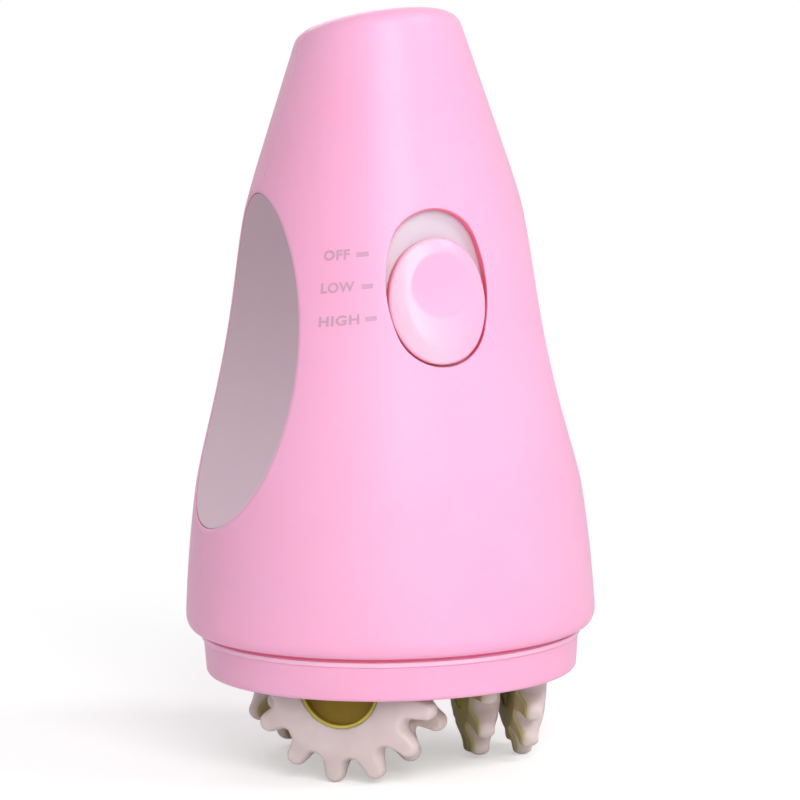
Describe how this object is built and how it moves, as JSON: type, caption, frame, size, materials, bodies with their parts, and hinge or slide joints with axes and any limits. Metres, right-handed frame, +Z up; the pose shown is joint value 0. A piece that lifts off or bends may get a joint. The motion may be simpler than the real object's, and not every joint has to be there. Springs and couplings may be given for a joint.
{
  "type": "electric roller body massager",
  "caption": "Cone-shaped hand-held body massager with side grips and a slide switch, standing on toothed rollers that hang from a motor-driven turntable in its base ring.",
  "frame": {"origin": "middle of the base, on the plane that the rollers stand on", "axes": "+Z up, -Y towards the front with the slide switch, +X to the right seen from the front"},
  "size_m": [0.1036, 0.1036, 0.1939],
  "materials": {
    "pink_gloss": "glossy moulded plastic",
    "ring_pink": "glossy moulded plastic",
    "grip_rubber": "satin soft-touch rubber",
    "plate_grey": "satin plastic",
    "lime_core": "satin plastic",
    "milky_tread": "soft translucent rubber",
    "turntable_plastic": "satin plastic",
    "natural_plastic": "natural acetal",
    "steel": "zinc plated",
    "motor_can": "plated can",
    "brass": "turned",
    "black_plastic": "matt",
    "cell_sleeve": "printed sleeve"
  },
  "bodies": {
    "housing": {"front_shell": "pink_gloss", "rear_shell": "pink_gloss", "left_grip": "grip_rubber", "right_grip": "grip_rubber", "base_ring": "ring_pink", "chassis": "natural_plastic", "motor_plate": "natural_plastic", "motor": "motor_can", "motor_screws": "steel", "shaft_bush": "brass", "idler_pin": "steel", "battery_tray": "black_plastic", "battery_cells": "cell_sleeve", "battery_contacts": "steel", "battery_springs": "steel", "switch_plate": "plate_grey", "slide_switch": "black_plastic", "shell_screws": "steel", "ring_screws": "steel", "gearbox_screws": "steel"},
    "door": {"battery_door": "pink_gloss"},
    "slider": {"switch_button": "pink_gloss", "switch_lever": "black_plastic"},
    "rotor": {"turntable": "turntable_plastic", "output_shaft": "steel", "output_gear": "natural_plastic", "turntable_screw": "steel", "axles": "steel", "axle_clips": "steel", "roller_spacers": "natural_plastic"},
    "pinion": {"motor_pinion": "brass", "motor_shaft": "steel"},
    "idler": {"idler_gear": "natural_plastic"},
    "outer_roller_1": {"outer_tyre_1": "milky_tread", "outer_core_1": "lime_core"},
    "inner_roller_1": {"inner_tyre_1": "milky_tread", "inner_core_1": "lime_core"},
    "outer_roller_2": {"outer_tyre_2": "milky_tread", "outer_core_2": "lime_core"},
    "inner_roller_2": {"inner_tyre_2": "milky_tread", "inner_core_2": "lime_core"},
    "outer_roller_3": {"outer_tyre_3": "milky_tread", "outer_core_3": "lime_core"},
    "inner_roller_3": {"inner_tyre_3": "milky_tread", "inner_core_3": "lime_core"}
  },
  "joints": [
    {"name": "rotor_spin", "type": "hinge", "parent": "housing", "child": "rotor", "pos_m": [0, 0, 0.05], "axis": [0, 0, 1], "continuous": true},
    {"name": "idler_spin", "type": "hinge", "parent": "housing", "child": "idler", "pos_m": [0.01778, -0.01226, 0.068], "axis": [0, 0, 1], "continuous": true},
    {"name": "pinion_spin", "type": "hinge", "parent": "housing", "child": "pinion", "pos_m": [0, -0.0195, 0.07], "axis": [0, 0, 1], "continuous": true},
    {"name": "switch_slide", "type": "slide", "parent": "housing", "child": "slider", "axis": [0, 0.2072, 0.9783], "range_m": [0, 0.0065]},
    {"name": "door_swing", "type": "hinge", "parent": "housing", "child": "door", "pos_m": [0, 0.04718, 0.08073], "axis": [-1, 0, 0], "range_deg": [0, 35]},
    {"name": "outer_roller_1_spin", "type": "hinge", "parent": "rotor", "child": "outer_roller_1", "pos_m": [-0.02203, -0.0243, 0.02513], "axis": [-0.6717, -0.7408, 0], "continuous": true},
    {"name": "inner_roller_1_spin", "type": "hinge", "parent": "rotor", "child": "inner_roller_1", "pos_m": [-0.01411, -0.01556, 0.02513], "axis": [-0.6717, -0.7408, 0], "continuous": true},
    {"name": "outer_roller_2_spin", "type": "hinge", "parent": "rotor", "child": "outer_roller_2", "pos_m": [0.03206, -0.00693, 0.02513], "axis": [0.9774, -0.2113, 0], "continuous": true},
    {"name": "inner_roller_2_spin", "type": "hinge", "parent": "rotor", "child": "inner_roller_2", "pos_m": [0.02053, -0.00444, 0.02513], "axis": [0.9774, -0.2113, 0], "continuous": true},
    {"name": "outer_roller_3_spin", "type": "hinge", "parent": "rotor", "child": "outer_roller_3", "pos_m": [-0.01003, 0.03123, 0.02513], "axis": [-0.3057, 0.9521, 0], "continuous": true},
    {"name": "inner_roller_3_spin", "type": "hinge", "parent": "rotor", "child": "inner_roller_3", "pos_m": [-0.00642, 0.01999, 0.02513], "axis": [-0.3057, 0.9521, 0], "continuous": true}
  ],
  "couplings": [
    {"joint": "idler_spin", "follows": "rotor_spin", "ratio": -3.5},
    {"joint": "pinion_spin", "follows": "rotor_spin", "ratio": 10.5}
  ]
}
